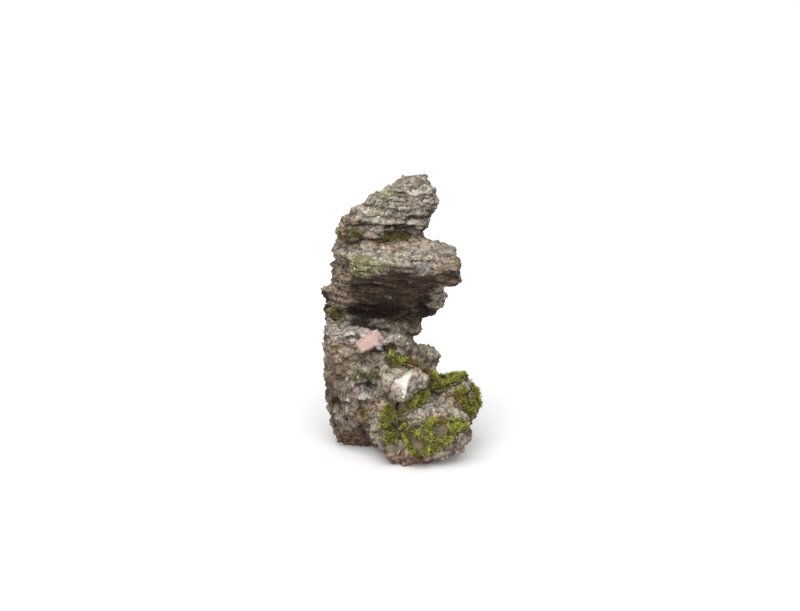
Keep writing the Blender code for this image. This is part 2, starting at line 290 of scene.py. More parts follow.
# a mesh from arrays: points in mm, and one row of corners for each triangle
def meshFrom(name, points, triangles):
    mesh = bpy.data.meshes.new(name)
    mesh.vertices.add(len(points))
    mesh.vertices.foreach_set("co", (points * mm).astype(np.float32).ravel())
    mesh.loops.add(len(triangles) * 3)
    mesh.loops.foreach_set("vertex_index", triangles.astype(np.int32).ravel())
    mesh.polygons.add(len(triangles))
    mesh.polygons.foreach_set("loop_start", np.arange(0, len(triangles) * 3, 3, dtype=np.int32))
    mesh.update(calc_edges=True)
    mesh.validate()
    return mesh


# random places on triangles: a triangle by its share of the area, then a share along each of two sides
def scatter(points, triangles, count, draw):
    a, b, c = (points[triangles[:, corner]] for corner in range(3))
    cross = np.cross(b - a, c - a)
    area = np.linalg.norm(cross, axis=1)
    chosen = draw.choice(len(triangles), count, p=area / area.sum())
    along, across = draw.random((2, count, 1))
    fold = (along + across) > 1.0
    along = np.where(fold, 1 - along, along)
    across = np.where(fold, 1 - across, across)
    spots = a[chosen] + along * (b - a)[chosen] + across * (c - a)[chosen]
    return spots, unit(cross[chosen]), chosen


# camera, floor and light: the places are in metres, the angles in degrees
studio = {
    "aim": (-0.0009, 0.0, 0.133),
    "distance": 1.3,
    "elevation": 15.0,
    "lens": 65.0,
    "viewEnd": 100.0,
    "floorSize": 30.0,
    "floorColour": (246, 246, 246),
    "floorRoughness": 0.9,
    "floorShine": 0.1,
    "skyColour": (1.0, 1.0, 1.0, 1.0),
    "skyStrength": 0.6,
    "sunStrength": 2.9,
    "sunTurn": (44.0, -8.0),
    "sunAngle": 70.0,
}

print("stage 1: camera, floor and light")
camera = bpy.data.objects.new("camera", bpy.data.cameras.new("camera"))
camera.data.lens = studio["lens"]
camera.data.clip_end = studio["viewEnd"]
tip = math.radians(studio["elevation"])
camera.location = (
    studio["aim"][0],
    studio["aim"][1] - studio["distance"] * math.cos(tip),
    studio["aim"][2] + studio["distance"] * math.sin(tip),
)
camera.rotation_euler = (math.pi / 2 - tip, 0.0, 0.0)
bpy.context.scene.collection.objects.link(camera)
bpy.context.scene.camera = camera
bpy.context.scene.view_settings.view_transform = "Standard"

half = studio["floorSize"] / 2
floorCorners = [(-half, -half, 0), (half, -half, 0), (half, half, 0), (-half, half, 0)]
floorMesh = bpy.data.meshes.new("floor")
floorMesh.from_pydata(floorCorners, [], [(0, 1, 2, 3)])
floor = place("floor", floorMesh)
floorMaterial, _, floorShader = startMaterial("white paper")
floorShader.inputs["Base Color"].default_value = (*linear(studio["floorColour"]), 1.0)
floorShader.inputs["Roughness"].default_value = studio["floorRoughness"]
floorShader.inputs["Specular IOR Level"].default_value = studio["floorShine"]
floorMesh.materials.append(floorMaterial)

lamp = bpy.data.objects.new("soft lamp", bpy.data.lights.new("soft lamp", "SUN"))
lamp.data.energy = studio["sunStrength"]
lamp.data.angle = math.radians(studio["sunAngle"])
lamp.rotation_euler = (math.radians(studio["sunTurn"][0]), math.radians(studio["sunTurn"][1]), 0.0)
bpy.context.scene.collection.objects.link(lamp)
sky = bpy.data.worlds.new("studio")
sky.use_nodes = True
skyWire = Wire(sky.node_tree)
seen = skyWire.node("LightPath", {}, {})  # 1 where the sky itself is in view: there it is white
brightness = studio["skyStrength"] + seen * (1.0 - studio["skyStrength"])
background = sky.node_tree.nodes["Background"]
background.inputs["Color"].default_value = studio["skyColour"]
sky.node_tree.links.new(brightness.socket, background.inputs["Strength"])
bpy.context.scene.world = sky

# the stone's shape: sizes and depths in mm
rock = {
    "grid": 1.3,
    "bedTilt": (0.09, 0.05, 1.0),
    "bedWarp": [(2.6, 34.0, 1), (0.9, 10.0, 2)],  # height, size, seed
    "bedStretch": 0.15,
    "layersFrom": (102.0, 114.0),
    "beds": [(7.6, 2.4, 1.7, 22.0), (3.7, 1.4, 1.1, 14.0)],  # thickness, stagger, crack depth, reach
    "bedsApart": 97.0,
    "staggerSeed": 10,
    "seamPower": 3,
    "gap": (0.55, 0.9),
    "gapReach": 0.7,
    "gapSeed": 20,
    "thinBeds": (1.15, 2.0, 61),  # height, size, seed
    "steep": (1.15, -1.3),  # a first share, and what facing up takes from it
    "lumps": [  # size, rise, tilt, groove depth, change of tone
        (13.0, 1.3, 0.10, 1.2, 0.5),
        (6.2, 0.8, 0.12, 0.8, 0.35),
        (3.2, 0.5, 0.12, 0.45, 0.3),
    ],
    "lumpSeed": 50,
    "lumpSeedStep": 9,
    "lumpFlatness": 1.2,
    "lumpBend": (1.2, 5.0, 31),  # height, size, seed
    "lumpTurns": (91.0, 57.0, 33.0),
    "grooveWidth": 0.22,
    "grooveShade": 0.8,
    "relief": (9.0, 3, 90),  # size, octaves, seed
    "reliefHeight": 0.5,
    "pits": (4.6, 81),  # size, seed
    "pitLimit": 0.42,
    "pitDepth": 3.6,
    "pitShade": 0.5,
    "calmLayers": 0.45,
    "calmClasts": 0.85,
    "sideways": (1.0, 1.0, 0.5),
    "mossCell": 2.6,
    "broadShare": (0.7, 0.3),  # how much of the smooth and of the carved surface's direction the colour sees
}

# the stains and painted shade: centre and radii in mm, colour from 0 to 255, and the share of it
stainsAndShade = {
    "grey clast": ((-18, -36, 104.5), (4.5, 6, 4.5), (168, 165, 160), 0.9),
    "quartz pebble": ((-34, -36, 57.5), (5.5, 6, 5), (205, 200, 192), 0.9),
    "quartz knob": ((56, -28, 70), (7, 7, 4), (190, 183, 172), 0.8),
    "green film": ((-30, -36, 77), (19, 12, 8), (104, 106, 68), 0.6),
    "brown foot": ((-38, -30, 8), (30, 40, 16), (122, 96, 79), 0.75),
    "pink foot": ((4, -50, 6), (26, 24, 15), (176, 144, 124), 0.65),
    "crown face": ((4, -8, 228), (44, 32, 32), (208, 198, 181), 0.75),
    "crown lichen": ((-16, -6, 238), (15, 20, 6), (150, 150, 102), 0.5),
    "crown top": ((10, 0, 251), (28, 32, 9), (132, 120, 106), 0.6),
    "shelf lichen": ((-38, -28, 175), (22, 22, 10), (164, 163, 118), 0.65),
    "boulder": ((2, -50, 74), (27, 14, 17), (202, 190, 174), 0.6),
    "block top": ((-30, -24, 112), (34, 20, 8), (206, 195, 187), 0.6),
    "right nub": ((38, 2, 136), (14, 26, 17), (176, 166, 151), 0.85),
    # painted shade: the column under the shelf's overhang is darkened
    "column": ((14, 4, 112), (15, 30, 12), (60, 51, 43), 0.75),
    "front block": ((46, -58, 17), (22, 18, 20), (178, 166, 150), 0.65),
    "left strip": ((-58, -12, 150), (14, 42, 36), (156, 140, 124), 0.6),
    # painted shade: the two crown cracks are darkened nearly black
    "crown crack, left": ((-1, 0, 206), (17, 24, 3.2), (34, 27, 22), 0.92),
    "crown crack, right": ((18, 0, 215), (18, 24, 2.6), (34, 27, 22), 0.92),
}
stainRoughness = 0.14
stainSeed = 140

# painted shade in the recess under the shelf, nearly black: level places in front of its lip, with edges in x
# and in y, stay light
recessShade = {
    "centre": (-18, -16, 124),
    "radii": (46, 36, 15),
    "colour": (9, 6, 4),
    "share": 0.93,
    "lipLeft": (-50, -42),
    "lipFront": (-20, -11),
    "level": (0.1, 0.45),
    "seed": 170,
}

# flat clasts: outline in x and z going round clockwise, the depth in y they lie in front of, and colour
clasts = {
    "pink clast": (
        [(-40, 107), (-31, 115), (-21, 117), (-16, 111), (-25, 102), (-35, 98)],
        -22,
        (184, 155, 146),
    ),
    "white crystal": ([(-6, 79), (9, 84), (4, 65)], -40, (222, 214, 206)),
}
clastShare = 0.96

stone = {
    "pale": (176, 165, 149),
    "middle": (137, 123, 108),
    "brown": (96, 79, 65),
    "dark": (52, 40, 32),
    "lichen": (166, 156, 116),
    "mossStain": (74, 66, 38),
}

# where the colours lie, each between two limits: heights and places in mm, how far up a surface faces (1 is
# straight up), how light a bed is, and how near moss lies
zones = {
    "wave": 3,
    "facingUp": (-0.15, 0.75),
    "crown": (170, 182),
    "crownUnder": (0.0, 0.7),
    "wallFoot": (106, 116),
    "wallHead": (162, 174),
    "wallLevel": (0.25, 0.5),
    "lightBeds": (0.3, 0.9),
    "strip": (44, 54),
    "stripBack": 10,
    "shelfFoot": (140, 148),
    "shelfHead": (176, 186),
    "shelfLevel": (0.35, 0.75),
    "filmLevel": (-0.2, 0.6),
    "underside": (0.1, 0.75),
    "mossRim": (0.03, 0.3),
}

# how the colours mix: shares, and rows of a first share and what each thing named beside them adds to it
mixes = {
    "drift": (24.0, 3, 120),  # size, octaves, seed
    "beds": [(1.0, 1.6, 61), (0.6, 3.4, 62)],  # height, size, seed
    "middle": (0.6, 0.45, 0.3),  # first, drift, tone
    # pale: painted light on upward faces
    "pale": (0.0, 1.0, 0.35, 0.25),  # first, facing, tone, drift
    "crown": (0.55, 0.25),  # first, tone
    "wall": (0.3, 0.3, 0.2, 0.75),  # first, tone, drift, beds
    "wallShare": 0.92,
    "lightBedShare": 0.65,
    "stripShare": 0.8,
    "shelf": (0.75, 0.4),  # first, drift
    "film": (15.0, 131),  # size, seed
    "filmLimits": (0.1, 0.8),
    "filmShare": 0.3,
    # underside: painted shade on downward faces
    "underside": (0.8, -0.5),  # first, wall
    "cool": ((11.0, 160), (0.05, 0.8), (0.9, 0.97, 1.1)),  # size and seed, limits, colour factor
    "warm": ((7.0, 161), (0.1, 0.8), (1.12, 0.96, 0.82)),
    "bedLines": 0.3,
    "bedLineLimits": (0.3, 1.5),
    # painted shade in cracks, grooves and pits: its share and its most
    "crack": 0.45,
    "crackShadeMost": 0.9,
    "mossStain": 0.45,
    "mottle": (1.0, 0.16, 0.1),  # first, and the two mottles below
    "mottles": [(2.6, 150), (6.0, 151)],  # size, seed
}

# the stone's finish: noise scales are per metre, and specks of quartz and of dark mineral fill small cells
finish = {
    "fine": {"Scale": 900.0, "Detail": 5.0, "Roughness": 0.7},
    "coarse": {"Scale": 260.0, "Detail": 4.0, "Roughness": 0.65},
    "fineShade": 1.3,
    "coarseShade": 0.6,
    "middleShade": 0.95,
    "quartzAbove": 0.92,
    "quartzShare": 0.8,
    "quartz": (1.75, 1.75, 1.8, 1.0),
    "darkBelow": 0.12,
    "darkShare": 0.7,
    "dark": (0.3, 0.28, 0.26, 1.0),
    "bump": {"Strength": 0.95, "Distance": 0.001},
    "coarseBump": 1.2,
    "roughness": 0.86,
    "shine": 0.3,
    "speck": 0.0016,
    "calmClasts": 0.85,
}


# the height within the bedding: height in the stone, tilted a little and bent by noise
def bedHeight(points):
    warp = sum(height * noise(points, size, seed) for height, size, seed in rock["bedWarp"])
    return points @ np.array(rock["bedTilt"]) + warp


# thin beds: noise stretched sideways along the bedding
def thinBeds(points, thick, seed):
    stretch = rock["bedStretch"]
    drawn = np.stack([points[:, 0] * stretch, points[:, 1] * stretch, bedHeight(points)], axis=1)
    return noise(drawn, thick, seed)


# how far up in the layered rock a height is: 0 below it, 1 in it
def layeredShare(height):
    return ease(*rock["layersFrom"], height)


# beds: each shifts sideways by its own noise, and a seam between two sinks where the gap noise is high
def staggered(points):
    height = bedHeight(points)
    sideways = np.zeros(len(points))
    crack = np.zeros(len(points))
    for index, (thick, stagger, depth, reach) in enumerate(rock["beds"]):
        bed = np.floor(height / thick)
        seam = np.abs(2 * (height / thick - bed) - 1) ** rock["seamPower"]
        spread = np.stack([points[:, 0], points[:, 1], bed * rock["bedsApart"]], axis=1)
        opened = weighed(rock["gap"], noise(points, reach * rock["gapReach"], rock["gapSeed"] + index))
        gap = np.clip(opened, 0, 1) * seam
        sideways += stagger * noise(spread, reach, rock["staggerSeed"] + index) - depth * gap
        crack += gap * depth
    rise, thick, seed = rock["thinBeds"]
    sideways += rise * thinBeds(points, thick, seed)
    return sideways, crack


# lumps: each cell rises by its own number, leans as a flat facet, and sinks in a groove where two cells meet
def lumped(points, layered, crack):
    flattened = points.copy()
    flattened[:, 2] *= 1 + rock["lumpFlatness"] * layered
    bend, size, seed = rock["lumpBend"]
    flattened += bend * np.stack([noise(points, size, seed + axis) for axis in range(3)], axis=1)
    turnX, turnY, turnZ = rock["lumpTurns"]
    outward = np.zeros(len(points))
    tone = np.zeros(len(points))
    for index, (size, rise, tilt, depth, change) in enumerate(rock["lumps"]):
        seed = rock["lumpSeed"] + rock["lumpSeedStep"] * index
        nearest, second, number, away = cells(flattened, size, seed)
        lean = np.stack([np.sin(number * turnX), np.cos(number * turnY), np.sin(number * turnZ)], axis=1)
        groove = 1 - np.clip((second - nearest) / rock["grooveWidth"], 0, 1)
        facet = tilt * size * (away * unit(lean)).sum(axis=1)
        outward += (2 * number - 1) * rise + facet - depth * groove
        crack += groove * depth * rock["grooveShade"]
        tone += (2 * number - 1) * change
    return outward, tone, crack


# where each point moves: sideways by the beds, and outward by lumps, relief and pits, of which flat clasts
# and layered rock take less. No point ends below the ground
def carve(points, normals):
    layered = layeredShare(points[:, 2])
    steep = np.clip(weighed(rock["steep"], np.maximum(normals[:, 2], 0.0) ** 2), 0.0, 1.0)
    sideways, crack = staggered(points)
    sideways *= steep * layered
    crack *= steep * layered
    smoothClasts = np.zeros(len(points))
    for outline, behind, _ in clasts.values():
        smoothClasts = np.maximum(smoothClasts, outlinePatch(points, outline, behind))
    outward, tone, crack = lumped(points, layered, crack)
    pit = np.clip(noise(points, *rock["pits"]) - rock["pitLimit"], 0, 1) * rock["pitDepth"]
    outward += rock["reliefHeight"] * roughNoise(points, *rock["relief"]) - pit
    outward *= (1 - rock["calmLayers"] * layered) * (1 - rock["calmClasts"] * smoothClasts)
    side = normals * np.array(rock["sideways"])
    moved = points + side * sideways[:, None] + normals * outward[:, None]
    moved[:, 2] = np.maximum(moved[:, 2], 0.0)
    # the second value is how much painted shade darkens the cracks, grooves and pits
    return moved, (crack + rock["pitShade"] * pit) * (1 - smoothClasts), tone, smoothClasts


# the stone's colour before stains: paler on upward faces as painted light, brown on walls and darker on
# downward faces as painted shade, with lichen, light beds and drifts
def ownTintWithPaintedLightAndShade(points, facing, tone, beds):
    x, y, z = points.T
    pale, middle, brown, dark, lichen = (
        linear(stone[name]) for name in ("pale", "middle", "brown", "dark", "lichen")
    )
    drift = roughNoise(points, *mixes["drift"])
    wavy = z + zones["wave"] * drift
    tint = mixed(brown, middle, np.clip(weighed(mixes["middle"], drift, tone), 0, 1))
    # painted light: paler the more a surface faces up
    tint = mixed(tint, pale, ease(*zones["facingUp"], weighed(mixes["pale"], facing, tone, drift)))
    crown = ease(*zones["crown"], wavy) * np.clip(weighed(mixes["crown"], tone), 0, 1)
    # painted shade: the crown's paleness is kept off downward faces
    tint = mixed(tint, pale, crown * (1 - ease(*zones["crownUnder"], -facing)))
    wall = ease(*zones["wallFoot"], z) * (1 - ease(*zones["wallHead"], wavy))
    wall = wall * (1 - ease(*zones["wallLevel"], facing))
    wallTint = mixed(dark, brown, np.clip(weighed(mixes["wall"], tone, drift, beds), 0, 1))
    tint = mixed(tint, wallTint, mixes["wallShare"] * wall)
    tint = mixed(tint, middle, mixes["lightBedShare"] * wall * ease(*zones["lightBeds"], beds))
    strip = wall * ease(*zones["strip"], -x) * (y < zones["stripBack"])
    tint = mixed(tint, middle, mixes["stripShare"] * strip)
    shelfTop = ease(*zones["shelfFoot"], z) * (1 - ease(*zones["shelfHead"], z))
    shelfTop = shelfTop * ease(*zones["shelfLevel"], facing)
    tint = mixed(tint, lichen, shelfTop * np.clip(weighed(mixes["shelf"], drift), 0, 1))
    film = ease(*mixes["filmLimits"], noise(points, *mixes["film"])) * ease(*zones["filmLevel"], facing)
    tint = mixed(tint, lichen, mixes["filmShare"] * film)
    # painted shade: darker on downward faces, less so under the walls
    tint = mixed(tint, dark, ease(*zones["underside"], -facing) * weighed(mixes["underside"], wall))
    for name in ("cool", "warm"):
        pattern, limits, factor = mixes[name]
        tint = tint * mixed(np.ones(3), np.array(factor), ease(*limits, noise(points, *pattern)))
    return tint


# stains as soft patches, some of them painted shade, and the painted shade of the recess, which leaves level
# places in front of the lip alone
def stainedAndShadedTint(tint, points, facing):
    for index, (centre, radii, colour, share) in enumerate(stainsAndShade.values()):
        stain = patch(points, centre, radii, stainRoughness, stainSeed + index)
        tint = mixed(tint, linear(colour), share * stain)
    # painted shade in the recess, kept off level places in front of the lip
    behindLip = ease(*recessShade["lipLeft"], points[:, 0]) * ease(*recessShade["lipFront"], points[:, 1])
    deep = recessShade["share"] * patch(points, recessShade["centre"], recessShade["radii"], stainRoughness, recessShade["seed"])
    deep = deep * (1 - ease(*recessShade["level"], facing) * (1 - behindLip))
    return mixed(tint, linear(recessShade["colour"]), deep)


# the stone's colour: its own with painted light and shade, then stains and painted shade, lines along the
# beds, painted shade in cracks, clasts, moss stain and mottling
def stoneTint(points, normals, crack, tone, mossField):
    facing = normals[:, 2]
    beds = sum(height * thinBeds(points, size, seed) for height, size, seed in mixes["beds"])
    tint = stainedAndShadedTint(ownTintWithPaintedLightAndShade(points, facing, tone, beds), points, facing)
    lines = 1 + mixes["bedLines"] * layeredShare(points[:, 2]) * beds
    tint = tint * lines[:, None].clip(*mixes["bedLineLimits"])
    # painted shade: cracks, grooves and pits darkened towards the dark stone colour
    tint = mixed(tint, linear(stone["dark"]), np.clip(crack * mixes["crack"], 0, mixes["crackShadeMost"]))
    for outline, behind, colour in clasts.values():
        tint = mixed(tint, linear(colour), clastShare * outlinePatch(points, outline, behind))
    tint = mixed(tint, linear(stone["mossStain"]), mixes["mossStain"] * ease(*zones["mossRim"], mossField))
    mottles = [noise(points, size, seed) for size, seed in mixes["mottles"]]
    return tint * weighed(mixes["mottle"], *mottles)[:, None]


# stone: the painted colour, quartz and dark specks by small cells, and a fine rough bump
def stoneMaterial(name, speckSize):
    material, wire, shader = startMaterial(name)
    spot = wire.node("TexCoord", {}, {}, output=3)
    colour = wire.node("Attribute", {"attribute_name": tintLayer}, {})
    crumbly = wire.node("Attribute", {"attribute_name": tintLayer}, {}, output=3)
    fine = wire.node("TexNoise", {}, {"Vector": spot, **finish["fine"]})
    coarse = wire.node("TexNoise", {}, {"Vector": spot, **finish["coarse"]})
    cell = wire.node("TexVoronoi", {}, {"Vector": spot, "Scale": 1 / speckSize}, output=1)
    number = wire.node("SeparateColor", {}, {0: cell})
    mottle = fine * finish["fineShade"] + coarse * finish["coarseShade"] - finish["middleShade"]
    shade = 1.0 + mottle * crumbly
    grey = wire.node("CombineColor", {}, {0: shade, 1: shade, 2: shade})
    colour = wire.blend(1.0, colour, grey, "MULTIPLY")
    quartz = (number > finish["quartzAbove"]) * finish["quartzShare"] * crumbly
    colour = wire.blend(quartz, colour, finish["quartz"], "MULTIPLY")
    dark = (number < finish["darkBelow"]) * finish["darkShare"] * crumbly
    colour = wire.blend(dark, colour, finish["dark"], "MULTIPLY")
    height = (fine + coarse * finish["coarseBump"]) * crumbly
    bump = wire.node("Bump", {}, {**finish["bump"], "Height": height})
    wire.tree.links.new(colour.socket, shader.inputs["Base Color"])
    wire.tree.links.new(bump.socket, shader.inputs["Normal"])
    shader.inputs["Roughness"].default_value = finish["roughness"]
    shader.inputs["Specular IOR Level"].default_value = finish["shine"]
    return material


print("stage 2: the stone's fine shape")
mossNodes = sorted(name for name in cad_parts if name.startswith("moss"))
padMeshes = {name: mergedMesh(name) for name in mossNodes}
padPoints = np.concatenate([pointsOf(mesh)[0] for mesh in padMeshes.values()])
mossNear = Nearness(padPoints, rock["mossCell"])

stonePiece = place("stone", mergedMesh("rock"))
remesh = stonePiece.modifiers.new("even grid", "REMESH")
remesh.mode = "VOXEL"
remesh.voxel_size = rock["grid"] * mm
graph = bpy.context.evaluated_depsgraph_get()
stoneMesh = bpy.data.meshes.new_from_object(stonePiece.evaluated_get(graph))
stoneMesh.name = "stone"
stonePiece.modifiers.clear()
stonePiece.data = stoneMesh
points, broadNormals = pointsOf(stoneMesh)
points, crack, tone, smoothShare = carve(points, broadNormals)
stoneMesh.vertices.foreach_set("co", (points * mm).astype(np.float32).ravel())
stoneMesh.update()
points, normals = pointsOf(stoneMesh)
# the direction the colour sees sets its painted light on top and its painted shade below
broad, close = rock["broadShare"]
stoneColours = stoneTint(points, broad * broadNormals + close * normals, crack, tone, mossNear.at(points))
paint(stoneMesh, stoneColours, 1 - finish["calmClasts"] * smoothShare)
stoneMesh.polygons.foreach_set("use_smooth", np.ones(len(stoneMesh.polygons), bool))
stoneMesh.materials.append(stoneMaterial("weathered stone with painted light and shade", finish["speck"]))
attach(stonePiece, "root")
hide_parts("rock")
stoneTriangles = trianglesOf(stoneMesh)
print("stone triangles", len(stoneTriangles))

# the grains: radii in mm. A pair is a first value and what a random share adds to it, or lying on a clast
grain = {
    "count": 8600,
    "seed": 11,
    "size": (0.5, 1.35),
    "sizePower": 3,
    "onClasts": (1, -0.96),
    "corner": (0.72, 0.5),
    "stretch": (0.65, 0.7),
    "sunk": 0.25,
    "shade": (0.7, 0.75),
    "paleAbove": 0.93,
    "pale": 1.7,
    "darkBelow": 0.12,
    "dark": 0.4,
    "hue": 0.16,
    "brightest": 0.85,
    "speck": 0.0012,
}


# the corners and faces of an icosahedron of radius 1: three golden rectangles and their hull
def icosahedron():
    golden = (1 + math.sqrt(5)) / 2
    first = [(0, a, b * golden) for a in (-1, 1) for b in (-1, 1)]
    second = [(a, b, 0) for _, a, b in first]
    third = [(b, 0, a) for _, a, b in first]
    corners = unit(np.array(first + second + third, float))
    ball = bmesh.new()
    made = [ball.verts.new(corner) for corner in corners]
    bmesh.ops.convex_hull(ball, input=made)
    ball.verts.index_update()
    faces = np.array([[vertex.index for vertex in face.verts] for face in ball.faces])
    ball.free()
    return corners, faces


# grains: icosahedra with each corner pulled in or out at random, stretched, and sunk a little in the stone
def makeGrains(count, draw):
    corners, faces = icosahedron()
    spots, facing, chosen = scatter(points, stoneTriangles, count, draw)
    nearby = stoneTriangles[chosen, 0]
    size = weighed(grain["size"], draw.random(count) ** grain["sizePower"])
    size = size * weighed(grain["onClasts"], smoothShare[nearby])
    pulled = corners[None] * weighed(grain["corner"], draw.random((count, len(corners), 1)))
    pulled = pulled * weighed(grain["stretch"], draw.random((count, 1, 3))) * size[:, None, None]
    spots = spots - facing * size[:, None] * grain["sunk"]
    whole = (pulled + spots[:, None]).reshape(-1, 3)
    whole[:, 2] = np.maximum(whole[:, 2], 0.0)
    rows = (faces[None] + len(corners) * np.arange(count)[:, None, None]).reshape(-1, 3)
    a, b, c = (whole[rows[:, corner]] for corner in range(3))
    outside = a - spots.repeat(len(faces), axis=0)
    inward = (np.cross(b - a, c - a) * outside).sum(axis=1) < 0
    rows = np.where(inward[:, None], rows[:, ::-1], rows)
    # each grain takes the stone's colour beside it, painted light and shade too
    colours = stoneColours[nearby] * weighed(grain["shade"], draw.random((count, 1)))
    kind = draw.random(count)
    darkened = np.where(kind < grain["darkBelow"], grain["dark"], 1.0)
    colours = colours * np.where(kind > grain["paleAbove"], grain["pale"], darkened)[:, None]
    hue = 1 + grain["hue"] * (draw.random((count, 3)) - 0.5)
    colours = (colours * hue).clip(0.0, grain["brightest"])
    mesh = meshFrom("grains", whole, rows)
    paint(mesh, colours.repeat(len(corners), axis=0))
    mesh.materials.append(stoneMaterial("loose grains", grain["speck"]))
    return mesh


print("stage 3: grains set in the stone")
grains = place("grains", makeGrains(grain["count"], np.random.default_rng(grain["seed"])))
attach(grains, "root")

# the moss: lengths in mm, colours from 0 to 255, and how fresh and how full each cushion is
moss = {
    "perSquare": 1.5,
    "rootDepth": 2.6,
    "seed": 300,
    "stoneCell": 2.0,
    "probe": 3.0,
    "rim": (0.55, 1.1),
    "thin": [(0.5, 5.5, 230), (0.4, 2.4, 231)],  # height, size, seed
    "thinFrom": 0.35,
    "thinRim": 0.5,
    "thinRandom": 0.25,
    "upright": 0.45,
    "sway": 0.7,
    "shoot": 0.55,
    "shootThin": (1.2, -0.6),
    "bedDepth": (3.4, 0.5),
    "bedNoise": (4.0, 210),  # size, seed
    "bedFoot": -1.7,
    "bedMix": (0.5, 0.4),
    "bedMixNoise": (4.0, 211),
    "bedShade": (0.75, 0.45),
    "bedShadeNoise": (2.5, 212),
    "lime": (208, 213, 92),
    "green": (118, 124, 44),
    "deep": (40, 38, 16),
    "brown": (122, 94, 56),
    "fresh": {
        "moss_block": 0.65,
        "moss_lump": 0.6,
        "moss_toe": 0.45,
        "moss_crease": 0.4,
        "moss_saddle": 0.45,
        "moss_band": 0.35,
        "moss_leg": 0.35,
    },
    "freshElsewhere": -0.1,
    "cover": {
        "moss_block": 0.6,
        "moss_crown_left": 0.3,
        "moss_crown_right": 0.4,
        "moss_nub": 0.35,
        "moss_leg": 0.4,
        "moss_toe": 0.6,
        "moss_band": 0.6,
    },
    "coverElsewhere": 0.8,
}

# a leaf: lengths in mm, shares of the shoot's or the leaf's length, and its colour
leaf = {
    "count": 8,
    "length": (1.3, 2.6),
    "width": 0.5,
    "uprightLimit": 0.8,
    "turn": 2.39996,  # the golden angle, in radians
    "firstTurn": 6.283,
    "turnRandom": 0.5,
    "rise": (0.35, 0.6),
    "spread": (1.15, 0.85),
    "forward": 1.1,
    "twist": 0.01,
    "keel": 0.45,
    "widest": 0.42,
    "vigour": (0.5, 5.0, 201),  # height, size, seed
    "vigourRandom": 0.5,
    "heightRandom": 0.25,
    "greenFrom": 1.3,
    "lime": (0.25, 1.0),
    "limeFrom": 0.4,
    "dead": (7.0, 202),  # size, seed
    "deadFrom": 0.6,
    "deadLimits": (0.1, 0.7),
    "deadShare": 0.8,
    "deadRandom": 0.2,
    "clump": (0.75, 2.4, 203),  # height, size, seed
    "clumpFrom": 0.72,
    "clumpRandom": 0.5,
    "shade": (0.7, 0.6),
    "shadeLimits": (0.15, 1.6),
}


# leaves up each shoot at even heights, turned by the golden angle: each a keeled sliver of four triangles
def leafShapes(roots, axes, lengths, step, draw):
    count, leaves = len(roots), leaf["count"]
    level = np.abs(axes[:, 2:]) > leaf["uprightLimit"]
    sideA = unit(np.cross(axes, np.where(level, [[1.0, 0, 0]], up[None])))
    sideB = np.cross(axes, sideA)
    turn = leaf["turn"] * step + draw.random((count, 1)) * leaf["firstTurn"]
    turn = turn + leaf["turnRandom"] * draw.random((count, leaves))
    around = np.cos(turn)[..., None] * sideA[:, None] + np.sin(turn)[..., None] * sideB[:, None]
    rise = (leaf["rise"][0] + leaf["rise"][1] * step / (leaves - 1)) * lengths[:, None]
    start = roots[:, None] + axes[:, None] * rise[..., None]
    spread = leaf["spread"][0] - leaf["spread"][1] * step / (leaves - 1)
    way = unit(axes[:, None] * leaf["forward"] + around * spread[..., None])
    low, high = leaf["length"]
    reach = (low + (high - low) * draw.random((count, leaves)))[..., None]
    across = unit(np.cross(way, axes[:, None] + leaf["twist"] * around)) * leaf["width"] / 2
    middle = start + way * reach * leaf["widest"] + np.cross(across, way) * leaf["keel"]
    corners = np.stack([start, start + way * reach, middle + across, middle - across], axis=2)
    whole = corners.reshape(-1, 3)
    whole[:, 2] = np.maximum(whole[:, 2], 0.0)
    first = 4 * np.arange(count * leaves)[:, None, None]
    rows = (np.array([[0, 2, 1], [0, 1, 3], [2, 3, 1], [0, 3, 2]])[None] + first).reshape(-1, 3)
    quad = whole.reshape(-1, 4, 3)
    face = np.cross(quad[:, 2] - quad[:, 0], quad[:, 1] - quad[:, 0])
    volume = (face * (quad[:, 3] - quad[:, 0])).sum(axis=1)
    return whole, np.where((volume < 0).repeat(4)[:, None], rows, rows[:, ::-1])


# a leaf's colour: deep at the foot, green and then lime up the shoot, brown where it is dead, and mottled
def leafTint(roots, fresh, step, draw):
    count, leaves = len(roots), leaf["count"]
    lime, green, deep, brown = (linear(moss[name])[None, None] for name in ("lime", "green", "deep", "brown"))
    rise, size, seed = leaf["vigour"]
    vigour = fresh + rise * noise(roots, size, seed)
    vigour = np.clip(vigour + leaf["vigourRandom"] * (draw.random(count) - 0.5), 0, 1)
    height = (step / (leaves - 1)) + leaf["heightRandom"] * (draw.random((count, leaves)) - 0.5)
    tint = mixed(deep, green, np.clip(height * leaf["greenFrom"], 0, 1))
    tint = mixed(tint, lime, ease(*leaf["lime"], height * (leaf["limeFrom"] + vigour[:, None])))
    dead = ease(*leaf["deadLimits"], noise(roots, *leaf["dead"]) + leaf["deadFrom"] - vigour)
    dead = (dead * leaf["deadShare"])[:, None] + leaf["deadRandom"] * draw.random((count, leaves))
    tint = mixed(tint, brown, np.clip(dead, 0, 1))
    rise, size, seed = leaf["clump"]
    clump = leaf["clumpFrom"] + rise * noise(roots, size, seed) + leaf["clumpRandom"] * draw.random(count)
    shade = clump[:, None] * weighed(leaf["shade"], draw.random((count, leaves)))
    tint = tint * shade.clip(*leaf["shadeLimits"])[..., None]
    return tint.reshape(-1, 3).repeat(4, axis=0)


# the points, triangles and colours of the leaves on many shoots
def makeLeaves(roots, axes, lengths, fresh, draw):
    step = np.arange(leaf["count"])[None]
    whole, rows = leafShapes(roots, axes, lengths, step, draw)
    return whole, rows, leafTint(roots, fresh, step, draw)


